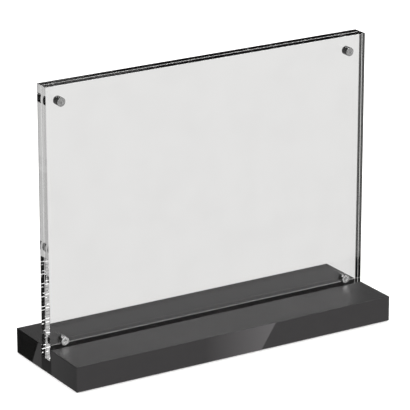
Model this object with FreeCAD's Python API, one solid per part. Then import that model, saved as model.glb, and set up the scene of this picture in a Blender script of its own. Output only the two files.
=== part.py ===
import FreeCAD, Part
import os

# Acrylic photo stand: two clear plates held face to face by four pairs of small magnets,
# standing in a full-length slot in a flat block base.
# Units are millimetres.  +X runs along the base, +Y points to the back, +Z is up.
# The origin is at the bottom centre, on the table under the middle of the slot.

# Driving dimensions
PLATE_WIDTH = 210.0            # long edge of an A5 sheet
PLATE_HEIGHT = 160.0           # short edge of an A5 sheet, plus the strip that stands in the slot
FRONT_THICKNESS = 5.0          # nominal 5 mm sheet
BACK_THICKNESS = 4.85          # the same sheet where it runs a little thin
PLATE_GAP = 0.2                # room for a sheet between the two plates
BASE_DEPTH = 70.0
BASE_HEIGHT = 15.0
SLOT_DEPTH = 7.0
SLOT_CLEARANCE = 0.15          # in front of the pair of plates
SEAT_GAP = 0.02                # between the slot floor and the plates that stand on it
MAGNET_DIAMETER = 5.0
MAGNET_LENGTH = 3.6
MAGNET_EDGE_DISTANCE = 10.0    # hole centre to the nearest two plate edges
FOOT_DIAMETER = 10.0
FOOT_THICKNESS = 1.2
FOOT_STANDOUT = 0.5            # how far a foot reaches below the block

# Small details
BASE_CHAMFER = 0.1
SLOT_CHAMFER = 0.4
PLATE_CHAMFER = 0.12
MAGNET_CHAMFER = 0.25
MAGNET_HOLE_CLEARANCE = 0.05   # glue line all round the magnet
MAGNET_RECESS = 0.05           # magnet face to the mating face of its plate
FOOT_POCKET_CLEARANCE = 0.2
FOOT_FILLET = 0.2
FOOT_INSET_X = 14.0            # foot centre to the end of the block
FOOT_INSET_Y = 12.0            # foot centre to the front or back of the block

# Derived dimensions
BASE_BOTTOM_Z = FOOT_STANDOUT
BASE_TOP_Z = BASE_BOTTOM_Z + BASE_HEIGHT
SLOT_FLOOR_Z = BASE_TOP_Z - SLOT_DEPTH
PLATE_BOTTOM_Z = SLOT_FLOOR_Z + SEAT_GAP
PLATE_TOP_Z = PLATE_BOTTOM_Z + PLATE_HEIGHT
SLOT_WIDTH = 2 * (PLATE_GAP / 2 + FRONT_THICKNESS + SLOT_CLEARANCE)
HOLE_RADIUS = MAGNET_DIAMETER / 2 + MAGNET_HOLE_CLEARANCE
HOLE_DEPTH = MAGNET_RECESS + MAGNET_LENGTH + MAGNET_HOLE_CLEARANCE
FOOT_POCKET_DEPTH = FOOT_THICKNESS - FOOT_STANDOUT

UP = FreeCAD.Vector(0, 0, 1)
TO_BACK = FreeCAD.Vector(0, 1, 0)
TO_FRONT = FreeCAD.Vector(0, -1, 0)

# The four corners of a plate as (name, x, z) of the magnet centre
CORNERS = [
    ("top_left", -PLATE_WIDTH / 2 + MAGNET_EDGE_DISTANCE, PLATE_TOP_Z - MAGNET_EDGE_DISTANCE),
    ("top_right", PLATE_WIDTH / 2 - MAGNET_EDGE_DISTANCE, PLATE_TOP_Z - MAGNET_EDGE_DISTANCE),
    ("bottom_left", -PLATE_WIDTH / 2 + MAGNET_EDGE_DISTANCE, PLATE_BOTTOM_Z + MAGNET_EDGE_DISTANCE),
    ("bottom_right", PLATE_WIDTH / 2 - MAGNET_EDGE_DISTANCE, PLATE_BOTTOM_Z + MAGNET_EDGE_DISTANCE),
]

# The four feet as (name, x, y) of the foot centre
FEET = [
    ("front_left", -PLATE_WIDTH / 2 + FOOT_INSET_X, -BASE_DEPTH / 2 + FOOT_INSET_Y),
    ("front_right", PLATE_WIDTH / 2 - FOOT_INSET_X, -BASE_DEPTH / 2 + FOOT_INSET_Y),
    ("back_left", -PLATE_WIDTH / 2 + FOOT_INSET_X, BASE_DEPTH / 2 - FOOT_INSET_Y),
    ("back_right", PLATE_WIDTH / 2 - FOOT_INSET_X, BASE_DEPTH / 2 - FOOT_INSET_Y),
]


def block(x_size, y_size, z_size, x_min, y_min, z_min):
    """Box given by its size and its lowest corner."""
    return Part.makeBox(x_size, y_size, z_size, FreeCAD.Vector(x_min, y_min, z_min))


def export(shape, node):
    """Write one sub-part to its own file."""
    shape.exportStep("parts/" + node + ".step")


def slot_mouth_chamfer(side):
    """Wedge that breaks one long top edge of the slot; side is -1 at the front, +1 at the back."""
    edge_y = side * SLOT_WIDTH / 2
    corners = [
        FreeCAD.Vector(-PLATE_WIDTH / 2, edge_y, BASE_TOP_Z - SLOT_CHAMFER),
        FreeCAD.Vector(-PLATE_WIDTH / 2, edge_y + side * SLOT_CHAMFER, BASE_TOP_Z),
        FreeCAD.Vector(-PLATE_WIDTH / 2, edge_y, BASE_TOP_Z),
    ]
    profile = Part.Face(Part.makePolygon(corners + corners[:1]))
    return profile.extrude(FreeCAD.Vector(PLATE_WIDTH, 0, 0))


def base_block():
    """Flat block with broken edges, a slot open at both ends and four foot pockets."""
    body = block(PLATE_WIDTH, BASE_DEPTH, BASE_HEIGHT, -PLATE_WIDTH / 2, -BASE_DEPTH / 2, BASE_BOTTOM_Z)
    body = body.makeChamfer(BASE_CHAMFER, body.Edges)
    slot = block(PLATE_WIDTH, SLOT_WIDTH, SLOT_DEPTH, -PLATE_WIDTH / 2, -SLOT_WIDTH / 2, SLOT_FLOOR_Z)
    body = body.cut(slot)
    for side in (-1, 1):
        body = body.cut(slot_mouth_chamfer(side))
    pocket_radius = FOOT_DIAMETER / 2 + FOOT_POCKET_CLEARANCE
    for name, x, y in FEET:
        start = FreeCAD.Vector(x, y, BASE_BOTTOM_Z)
        body = body.cut(Part.makeCylinder(pocket_radius, FOOT_POCKET_DEPTH, start, UP))
    return body


def foot(x, y):
    """Thin round non-slip pad with a rounded lower rim."""
    pad = Part.makeCylinder(FOOT_DIAMETER / 2, FOOT_THICKNESS, FreeCAD.Vector(x, y, 0), UP)
    lower_rim = [edge for edge in pad.Edges if edge.BoundBox.ZMax < FOOT_THICKNESS / 2]
    return pad.makeFillet(FOOT_FILLET, lower_rim)


def plate(mating_y, inward, thickness):
    """Clear plate with four blind magnet holes drilled from its mating face.

    mating_y is the Y of the mating face; inward points from that face into the plate.
    """
    far_y = mating_y + inward.y * thickness
    body = block(PLATE_WIDTH, thickness, PLATE_HEIGHT,
                 -PLATE_WIDTH / 2, min(mating_y, far_y), PLATE_BOTTOM_Z)
    body = body.makeChamfer(PLATE_CHAMFER, body.Edges)
    for name, x, z in CORNERS:
        start = FreeCAD.Vector(x, mating_y, z)
        body = body.cut(Part.makeCylinder(HOLE_RADIUS, HOLE_DEPTH, start, inward))
    return body


def magnet(mating_y, inward, x, z):
    """Round magnet with both rims broken, set just below the mating face of its plate."""
    start = FreeCAD.Vector(x, mating_y + inward.y * MAGNET_RECESS, z)
    body = Part.makeCylinder(MAGNET_DIAMETER / 2, MAGNET_LENGTH, start, inward)
    rims = [edge for edge in body.Edges if isinstance(edge.Curve, Part.Circle)]
    return body.makeChamfer(MAGNET_CHAMFER, rims)


os.makedirs("parts", exist_ok=True)

export(base_block(), "base_block")

for foot_name, foot_x, foot_y in FEET:
    export(foot(foot_x, foot_y), "foot_" + foot_name)

for side_name, face_y, direction, sheet_thickness in (
    ("front", -PLATE_GAP / 2, TO_FRONT, FRONT_THICKNESS),
    ("back", PLATE_GAP / 2, TO_BACK, BACK_THICKNESS),
):
    export(plate(face_y, direction, sheet_thickness), side_name + "_plate")
    for corner_name, corner_x, corner_z in CORNERS:
        export(magnet(face_y, direction, corner_x, corner_z), side_name + "_magnet_" + corner_name)
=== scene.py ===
import bpy
import math
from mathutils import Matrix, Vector


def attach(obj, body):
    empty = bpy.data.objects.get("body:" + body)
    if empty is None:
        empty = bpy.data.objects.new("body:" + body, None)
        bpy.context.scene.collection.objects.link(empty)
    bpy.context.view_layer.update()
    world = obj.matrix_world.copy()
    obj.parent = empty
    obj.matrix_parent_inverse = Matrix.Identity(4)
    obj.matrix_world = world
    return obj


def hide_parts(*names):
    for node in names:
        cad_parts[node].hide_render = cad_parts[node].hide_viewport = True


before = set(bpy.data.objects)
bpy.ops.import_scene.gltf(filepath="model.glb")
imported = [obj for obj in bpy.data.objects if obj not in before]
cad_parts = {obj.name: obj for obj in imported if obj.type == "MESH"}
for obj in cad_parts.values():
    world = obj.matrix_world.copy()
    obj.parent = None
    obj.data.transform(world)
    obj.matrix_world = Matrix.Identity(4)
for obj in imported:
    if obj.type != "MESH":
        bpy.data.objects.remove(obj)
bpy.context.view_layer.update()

# Clear acrylic photo stand: two plates with magnets, standing in a gloss black block.
# Everything is in metres, in the frame of the CAD model.

MM = 0.001

# Camera
CAMERA_AZIMUTH = math.radians(-31.6)     # 0 looks straight at the front
CAMERA_ELEVATION = math.radians(19.0)
CAMERA_DISTANCE = 1625 * MM
CAMERA_TARGET = Vector((-0.5, 0, 81)) * MM
CAMERA_LENS_MM = 250
SENSOR_WIDTH_MM = 36

# Brightness of the surroundings
STUDIO_TINT = (1, 0.996, 0.988, 1)
BACKDROP = 1.05               # seen directly
SURROUND = 1.6                # falls on matte surfaces
THROUGH_LOW = 0.775           # seen straight through the plates, low down
THROUGH_HIGH = 0.84           # seen straight through the plates, higher up
TABLE_FRONT = 0.55            # table in front of the stand, as mirror-like surfaces see it
TABLE_BACK = 0.62             # table behind it, to the right
TABLE_DARK = 0.01             # table behind it, to the far left
ROOM_LOW = 0.015              # unlit room, level with the table
ROOM_HIGH = 0.045             # unlit room, overhead
SOFTBOX_LOW = 2.0
SOFTBOX_HIGH = 6.5
SOFTBOX_AZIMUTH = 145         # degrees
SOFTBOX_ELEVATION = 37
SOFTBOX_INNER = 27            # degrees from its middle to where it starts to fade
SOFTBOX_OUTER = 31
MIRROR_FADE = 0.962           # left of the light from above after each reflection
FLOOR_GLOW = 0.25
FLOOR_HALF = 3.0              # metres
FLOOR_TONE = 0.86

# Glowing cards on the table, as (x, y) in mm, seen in the sides of the base
FRONT_CARD = 1.04             # brightness of the front cards away from the streak
FRONT_STREAK = 3.09           # at the brightest place of the streak
END_CARD_LOW = 0.27
END_CARD_HIGH = 0.40
CARD_HEIGHT = 0.05
STREAK_NEAR = (15.6, -35)     # the streak ends along the line from here
STREAK_FAR = (54.6, -75.5)    # to here
FRONT_CARD_LEFT = [(-140, -35), STREAK_NEAR, STREAK_FAR, (-140, -75.5)]
FRONT_CARD_RIGHT = [STREAK_NEAR, (180, -35), (180, -75.5), STREAK_FAR]
END_CARD = [(-105, -37), (-105, 17.3), (-130, 53.2), (-130, 2)]

# Lamps
TOP_LIGHT = 0.14              # power, in watts
MAGNET_LIGHT = 0.33           # power, in watts
TOP_LAMP_DISTANCE = 0.6       # metres

# Magnets, in mm
MAGNET_RADIUS = 2.57          # fills the hole, so the metal touches the acrylic
MAGNET_LENGTH = 3.6
MAGNET_RIM = 0.3
DIMPLE_RADIUS = 1.1
DIMPLE_DEPTH = 0.13
DIMPLE_STEPS = 8
TURNING_PITCH = 0.3
NICKEL = 0.6                  # how much light the plating reflects
NICKEL_SPOT = 0.7             # share of that left in a dull spot
NICKEL_SIDE_SHADE = 0.55            # painted shade: share of that left on the sides

# Base block, in mm
SLOT_HALF = 5.67              # middle of the slot to just past its broken edges
SLOT_RIM = 15.08              # height just under the slot's broken edges
SANDED = 0.6                  # roughness of the sawn slot and the broken outer edges
SLOT_EDGE_HIGHLIGHT = 0.34               # painted highlight: pale tone on the slot's broken edges
BLACK_LOW = 0.0048            # tone of the block
BLACK_HIGH = 0.0060
BLACK_GLOSS_TINT = (1.0, 0.955, 0.978, 1)

ACRYLIC_IOR = 1.49

SCENE = bpy.context.scene


def direction(azimuth_deg, elevation_deg):
    """Unit vector; azimuth 0 is +Y (behind the stand), 90 is +X (its right)."""
    a, e = math.radians(azimuth_deg), math.radians(elevation_deg)
    return Vector((math.sin(a) * math.cos(e), math.cos(a) * math.cos(e), math.sin(e)))


def link_object(name, data):
    obj = bpy.data.objects.new(name, data)
    SCENE.collection.objects.link(obj)
    return obj


def collection(name, objects):
    group = bpy.data.collections.new(name)
    for obj in objects:
        group.objects.link(obj)
    return group


def make_camera():
    back = Vector((
        math.sin(CAMERA_AZIMUTH) * math.cos(CAMERA_ELEVATION),
        -math.cos(CAMERA_AZIMUTH) * math.cos(CAMERA_ELEVATION),
        math.sin(CAMERA_ELEVATION),
    ))
    data = bpy.data.cameras.new("camera")
    data.lens = CAMERA_LENS_MM
    data.sensor_width = SENSOR_WIDTH_MM
    data.clip_start = 0.01
    data.clip_end = 50
    camera = link_object("camera", data)
    camera.location = CAMERA_TARGET + back * CAMERA_DISTANCE
    camera.rotation_euler = (-back).to_track_quat("-Z", "Y").to_euler()
    SCENE.camera = camera


class Tree:
    """Short calls for building a node tree."""

    def __init__(self, tree):
        self.nodes = tree.nodes
        self.links = tree.links
        self.nodes.clear()

    def node(self, kind, settings=None, **inputs):
        n = self.nodes.new(kind)
        for key, value in (settings or {}).items():
            setattr(n, key, value)
        for key, value in inputs.items():
            self.put(n.inputs[key.replace("_", " ")], value)
        return n

    def put(self, socket, value):
        if hasattr(value, "is_output"):
            self.links.new(value, socket)
        else:
            socket.default_value = value

    def math(self, operation, a, b=0.0):
        n = self.node("ShaderNodeMath", {"operation": operation})
        for socket, value in zip(n.inputs, (a, b)):
            self.put(socket, value)
        return n.outputs[0]

    def dot(self, vector, fixed):
        n = self.node("ShaderNodeVectorMath", {"operation": "DOT_PRODUCT"})
        self.put(n.inputs[0], vector)
        n.inputs[1].default_value = fixed
        return n.outputs["Value"]

    def ramp(self, value, low, high, to_low=0.0, to_high=1.0, smooth=True):
        """From to_low to to_high as value goes from low to high, and level outside that."""
        kind = "SMOOTHSTEP" if smooth else "LINEAR"
        n = self.node("ShaderNodeMapRange", {"interpolation_type": kind}, Value=value,
                      From_Min=low, From_Max=high, To_Min=to_low, To_Max=to_high)
        return n.outputs["Result"]

    def mix(self, factor, a, b):
        """a where factor is 0, b where it is 1."""
        return self.math("ADD", a, self.math("MULTIPLY", factor, self.math("SUBTRACT", b, a)))

    def patch(self, vector, centre, inner_deg, outer_deg):
        """1 inside a cone about centre, 0 outside it, smooth between."""
        cosine = self.dot(vector, centre)
        return self.ramp(cosine, math.cos(math.radians(outer_deg)), math.cos(math.radians(inner_deg)))

    def noise(self, where, scale, detail=3.0, roughness=0.55):
        """Soft noise from 0 to 1 at `scale` features per metre."""
        n = self.node("ShaderNodeTexNoise", Vector=where, Scale=scale, Detail=detail, Roughness=roughness)
        return n.outputs[0]

    def bump(self, height, strength, distance_mm):
        n = self.node("ShaderNodeBump", Height=height, Strength=strength, Distance=distance_mm * MM)
        return n.outputs["Normal"]

    def grey(self, value):
        return self.node("ShaderNodeCombineColor", Red=value, Green=value, Blue=value).outputs[0]

    def place(self):
        """Place on the object, in metres."""
        return self.node("ShaderNodeTexCoord").outputs["Object"]

    def facing(self, axis):
        """Cosine of the angle between the surface and an axis."""
        return self.dot(self.node("ShaderNodeNewGeometry").outputs["True Normal"], axis)

    def surface(self, shader):
        out = self.node("ShaderNodeOutputMaterial")
        self.links.new(shader.outputs[0], out.inputs["Surface"])


def new_material(name):
    material = bpy.data.materials.new(name)
    material.use_nodes = True
    return material, Tree(material.node_tree)


def studio_world():
    """Pale surroundings. Mirror-like surfaces see a light table, dark at the far left, and a softbox."""
    world = bpy.data.worlds.new("studio")
    SCENE.world = world
    world.use_nodes = True
    world.cycles.sampling_method = "NONE"
    t = Tree(world.node_tree)
    ray = t.node("ShaderNodeTexCoord").outputs["Generated"]
    x, y, z = (t.dot(ray, axis) for axis in ((1, 0, 0), (0, 1, 0), (0, 0, 1)))
    # what reflections see
    far_side = t.ramp(x, -0.15, 0.2, TABLE_DARK, TABLE_BACK)
    table = t.mix(t.ramp(y, -0.1, 0.15), TABLE_FRONT, far_side)
    softbox_middle = direction(SOFTBOX_AZIMUTH, SOFTBOX_ELEVATION)
    softbox = t.patch(ray, softbox_middle, SOFTBOX_INNER, SOFTBOX_OUTER)
    room = t.ramp(z, 0.0, 1.0, ROOM_LOW, ROOM_HIGH, smooth=False)
    above = t.mix(softbox, room, t.ramp(z, 0.45, 0.8, SOFTBOX_LOW, SOFTBOX_HIGH))
    path = t.node("ShaderNodeLightPath").outputs
    above = t.math("MULTIPLY", above, t.math("POWER", MIRROR_FADE, path["Glossy Depth"]))
    reflected = t.mix(t.ramp(z, -0.03, 0.03), table, above)
    # what is seen straight through the plates
    through = t.ramp(z, -0.45, -0.2, THROUGH_LOW, THROUGH_HIGH, smooth=False)
    after_mirror = t.math("GREATER_THAN", path["Glossy Depth"], 0.5)
    after_diffuse = t.math("GREATER_THAN", path["Diffuse Depth"], 0.5)
    strength = t.mix(after_mirror, through, reflected)
    strength = t.mix(after_diffuse, strength, SURROUND)
    strength = t.mix(path["Is Camera Ray"], strength, BACKDROP)
    background = t.node("ShaderNodeBackground", Color=STUDIO_TINT, Strength=strength)
    out = t.node("ShaderNodeOutputWorld")
    t.links.new(background.outputs[0], out.inputs["Surface"])


def floor():
    mesh = bpy.data.meshes.new("floor")
    s = FLOOR_HALF
    mesh.from_pydata([(-s, -s, 0), (s, -s, 0), (s, s, 0), (-s, s, 0)], [], [(0, 1, 2, 3)])
    obj = link_object("floor", mesh)
    material, t = new_material("floor")
    shader = t.node("ShaderNodeBsdfPrincipled", Base_Color=(FLOOR_TONE, FLOOR_TONE, FLOOR_TONE, 1),
                    Roughness=1.0, Specular_IOR_Level=0.0,
                    Emission_Color=(1, 1, 1, 1), Emission_Strength=FLOOR_GLOW)
    t.surface(shader)
    mesh.materials.append(material)
    obj.visible_glossy = False
    obj.visible_transmission = False
    obj.visible_diffuse = False


def card(name, corners, strength_of, receivers):
    """Glowing card, seen only in the gloss of the receivers.

    strength_of makes its strength in a node tree.
    """
    mesh = bpy.data.meshes.new(name)
    points = [(x * MM, y * MM, CARD_HEIGHT * MM) for x, y in corners]
    mesh.from_pydata(points, [], [tuple(range(len(corners)))])
    obj = link_object(name, mesh)
    material, t = new_material(name)
    t.surface(t.node("ShaderNodeEmission", Strength=strength_of(t)))
    mesh.materials.append(material)
    obj.visible_camera = False
    obj.visible_diffuse = False
    obj.visible_transmission = False
    obj.visible_shadow = False
    obj.light_linking.receiver_collection = receivers


def glow(slope, start, end, low, high):
    """Card strength that rises evenly in the direction slope, from low at start to high at end."""
    def along(point):
        return (slope[0] * point[0] + slope[1] * point[1]) * MM

    def strength_of(t):
        where = t.node("ShaderNodeNewGeometry").outputs["Position"]
        rise = t.dot(where, (slope[0], slope[1], 0))
        return t.ramp(rise, along(start), along(end), low, high, smooth=False)

    return strength_of


def lamp(name, place, target, width, height, power, receivers, blockers):
    """Soft lamp that lights only the receivers; only the blockers can shade it."""
    data = bpy.data.lights.new(name, "AREA")
    data.shape = "RECTANGLE"
    data.size = width
    data.size_y = height
    data.energy = power
    data.cycles.use_multiple_importance_sampling = False
    obj = link_object(name, data)
    obj.location = place
    obj.rotation_euler = (Vector(target) - Vector(place)).to_track_quat("-Z", "Y").to_euler()
    obj.light_linking.receiver_collection = receivers
    obj.light_linking.blocker_collection = blockers
    obj.visible_camera = False


def acrylic():
    """Clear sheet: polished faces with faint smears, and edges with very faint saw ripples."""
    material, t = new_material("clear_acrylic")
    where = t.place()
    flatness = t.math("ABSOLUTE", t.facing((0, 1, 0)))
    smears = t.ramp(t.noise(where, 45, 4.0), 0.35, 0.75, 1.0, 0.985)
    ripples = t.noise(where, 900, 2.0)
    on_edges = t.ramp(flatness, 0.95, 0.5, 0.0, 1.0)
    normal = t.bump(t.math("MULTIPLY", ripples, on_edges), 0.008, 0.05)
    shader = t.node("ShaderNodeBsdfPrincipled", Base_Color=t.grey(smears), Normal=normal,
                    Transmission_Weight=1.0, IOR=ACRYLIC_IOR, Roughness=0.0)
    t.surface(shader)
    return material


def black_gloss():
    """Black acrylic block: polished sides, sanded satin top, sawn slot with a painted highlight on its
    broken edges.
    """
    material, t = new_material("base_gloss")
    where = t.place()
    parts = t.node("ShaderNodeSeparateXYZ", Vector=where).outputs
    up = t.facing((0, 0, 1))
    clouds = t.noise(where, 40)
    # the satin top, sanded along its length
    on_top = t.ramp(up, 0.9, 0.99)
    stretched = t.node("ShaderNodeMapping", Vector=where, Scale=(60, 900, 900)).outputs[0]
    sanding = t.noise(stretched, 1.0, 5.0, 0.65)
    satin = t.ramp(sanding, 0.3, 0.7, 0.245, 0.262)
    satin = t.math("ADD", satin, t.ramp(clouds, 0.3, 0.7, -0.006, 0.006))
    polished = t.ramp(clouds, 0.3, 0.7, 0.02, 0.045)
    normal = t.bump(t.math("MULTIPLY", sanding, on_top), 0.01, 0.01)
    # the slot and the broken edges
    near_slot = t.math("LESS_THAN", t.math("ABSOLUTE", parts[1]), SLOT_HALF * MM)
    in_slot = t.math("MULTIPLY", near_slot, t.math("LESS_THAN", parts[2], SLOT_RIM * MM))
    sloping = t.math("MULTIPLY", t.ramp(up, 0.3, 0.5), t.ramp(up, 0.8, 0.9, 1.0, 0.0))
    rough = t.mix(t.math("MAXIMUM", in_slot, sloping), t.mix(on_top, polished, satin), SANDED)
    tone = t.ramp(t.noise(where, 220, 4.0), 0.3, 0.7, BLACK_LOW, BLACK_HIGH)
    # painted highlight: the slot's broken edges get a pale tone
    tone = t.mix(t.math("MULTIPLY", near_slot, sloping), tone, SLOT_EDGE_HIGHLIGHT)
    shader = t.node("ShaderNodeBsdfPrincipled", Base_Color=t.grey(tone), Normal=normal,
                    IOR=ACRYLIC_IOR, Roughness=rough, Specular_Tint=BLACK_GLOSS_TINT)
    t.surface(shader)
    return material


def nickel():
    """Nickel plate: turning rings and dull spots on the flat ends, smooth sides darkened by painted shade.
    """
    material, t = new_material("magnet_nickel")
    where = t.place()
    parts = t.node("ShaderNodeSeparateXYZ", Vector=where).outputs
    squares = t.math("ADD", t.math("POWER", parts[0], 2.0), t.math("POWER", parts[2], 2.0))
    radius = t.math("SQRT", squares)
    on_end = t.ramp(radius, (MAGNET_RADIUS - MAGNET_RIM * 0.5) * MM, (MAGNET_RADIUS - MAGNET_RIM) * MM)
    rings = t.math("SINE", t.math("MULTIPLY", radius, 2 * math.pi / (TURNING_PITCH * MM)))
    spots = t.noise(where, 1300)
    height = t.math("MULTIPLY", on_end, t.math("ADD", t.math("MULTIPLY", rings, 0.3), spots))
    tone = t.ramp(spots, 0.35, 0.55, NICKEL * NICKEL_SPOT, NICKEL)
    # painted shade: the sides get a darker tone than the ends
    tone = t.math("MULTIPLY", tone, t.ramp(on_end, 0.0, 1.0, NICKEL_SIDE_SHADE, 1.0))
    rough = t.math("ADD", t.ramp(on_end, 0.0, 1.0, 0.12, 0.24), t.ramp(spots, 0.35, 0.65, 0.05, 0.0))
    shader = t.node("ShaderNodeBsdfPrincipled", Base_Color=t.grey(tone),
                    Normal=t.bump(height, 0.25, 0.03), Metallic=1.0, Roughness=rough)
    t.surface(shader)
    return material


def rubber():
    """Matte pad with a fine grain."""
    material, t = new_material("foot_rubber")
    grain = t.noise(t.place(), 2600, 4.0)
    tone = t.ramp(grain, 0.3, 0.7, 0.012, 0.028)
    rough = t.ramp(grain, 0.3, 0.7, 0.85, 0.65)
    shader = t.node("ShaderNodeBsdfPrincipled", Base_Color=t.grey(tone),
                    Normal=t.bump(grain, 0.4, 0.1), Roughness=rough)
    t.surface(shader)
    return material


def lathe(name, profile, segments=64):
    """Solid of revolution about Y. profile is (radius, y) from one end to the other, in mm."""
    ring = [2 * math.pi * i / segments for i in range(segments)]
    vertices = [(r * MM * math.cos(a), y * MM, r * MM * math.sin(a)) for r, y in profile for a in ring]
    faces = []
    for row in range(len(profile) - 1):
        k = row * segments
        for i in range(segments):
            j = (i + 1) % segments
            faces.append((k + i, k + j, k + segments + j, k + segments + i))
    faces.append(tuple(range(segments - 1, -1, -1)))
    faces.append(tuple(range((len(profile) - 1) * segments, len(profile) * segments)))
    mesh = bpy.data.meshes.new(name)
    mesh.from_pydata(vertices, [], faces)
    mesh.shade_smooth()
    mesh.set_sharp_from_angle(angle=math.radians(35))
    return mesh


def arc(centre_r, centre_y, radius, start_deg, end_deg, steps=8):
    """Points (r, y) on an arc; 0 degrees is outward, 90 is +y."""
    angles = [math.radians(start_deg + (end_deg - start_deg) * i / steps) for i in range(steps + 1)]
    return [(centre_r + radius * math.cos(a), centre_y + radius * math.sin(a)) for a in angles]


def magnet_profile():
    """Disc with rounded rims and a shallow dimple in its outer face; +Y is outward."""
    half = MAGNET_LENGTH / 2
    edge = MAGNET_RADIUS - MAGNET_RIM
    shares = [i / DIMPLE_STEPS for i in range(1, DIMPLE_STEPS + 1)]
    dimple = [
        (DIMPLE_RADIUS * s, half - DIMPLE_DEPTH * math.cos(math.pi / 2 * s) ** 1.5)
        for s in shares
    ]
    inner_rim = arc(edge, -half + MAGNET_RIM, MAGNET_RIM, -90, 0)
    outer_rim = arc(edge, half - MAGNET_RIM, MAGNET_RIM, 0, 90)
    return [(0.05, -half)] + inner_rim + outer_rim + dimple[::-1]


def node_middle(node):
    """Middle of the box round a CAD node."""
    corners = [node.matrix_world @ Vector(c) for c in node.bound_box]
    low = Vector(map(min, zip(*corners)))
    high = Vector(map(max, zip(*corners)))
    return (low + high) / 2


def magnets(material):
    """One detailed magnet in place of each plain one. Returns them by the name of the node replaced."""
    mesh = lathe("magnet", magnet_profile())
    mesh.materials.append(material)
    made = {}
    for name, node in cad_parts.items():
        if "magnet" not in name:
            continue
        obj = link_object(name + "_turned", mesh)
        obj.location = node_middle(node)
        front = name.startswith("front")
        if front:
            obj.rotation_euler = (0, 0, math.pi)
        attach(obj, "front_panel" if front else "back_panel")
        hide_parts(name)
        made[name] = obj
    return made


def dress(word, material):
    """Give a material to every CAD node with the word in its name."""
    for name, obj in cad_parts.items():
        if word in name:
            for slot in obj.material_slots:
                slot.material = material


make_camera()
studio_world()
floor()

plated = nickel()
dress("plate", acrylic())
dress("base", black_gloss())
dress("magnet", plated)
dress("foot", rubber())
turned = magnets(plated)

base_only = collection("base_only", [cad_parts["base_block"]])
feet_only = collection("feet_only", [obj for name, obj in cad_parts.items() if "foot" in name])
lower_magnets = collection("lower_magnets",
                           [obj for name, obj in turned.items() if "front_magnet_bottom" in name])

front_glow = glow((1, 0.615), (-22, -35), (28, -35), FRONT_CARD, FRONT_STREAK)
end_glow = glow((1.625, 1), (-105, -35), (-105, 12), END_CARD_LOW, END_CARD_HIGH)
card("front_card_left", FRONT_CARD_LEFT, front_glow, base_only)
card("front_card_right", FRONT_CARD_RIGHT, lambda t: FRONT_CARD, base_only)
card("end_card", END_CARD, end_glow, base_only)

top_lamp_place = direction(31.6, 22) * TOP_LAMP_DISTANCE
lamp("top_lamp", top_lamp_place, (0, 0, 0), 0.5, 0.25, TOP_LIGHT, base_only, base_only)
lamp("magnet_lamp", (0.2, -0.55, -0.11), (0, 0, 0.02), 0.4, 0.2, MAGNET_LIGHT, lower_magnets, feet_only)
lamp("magnet_rim_lamp", (-0.06, 0.55, 0.25), (0, 0, 0.02), 0.4, 0.1, MAGNET_LIGHT, lower_magnets, feet_only)

SCENE.view_settings.view_transform = "Standard"
# light crosses the clear plates by many inner reflections
SCENE.cycles.max_bounces = 96
SCENE.cycles.transmission_bounces = 96
SCENE.cycles.glossy_bounces = 96
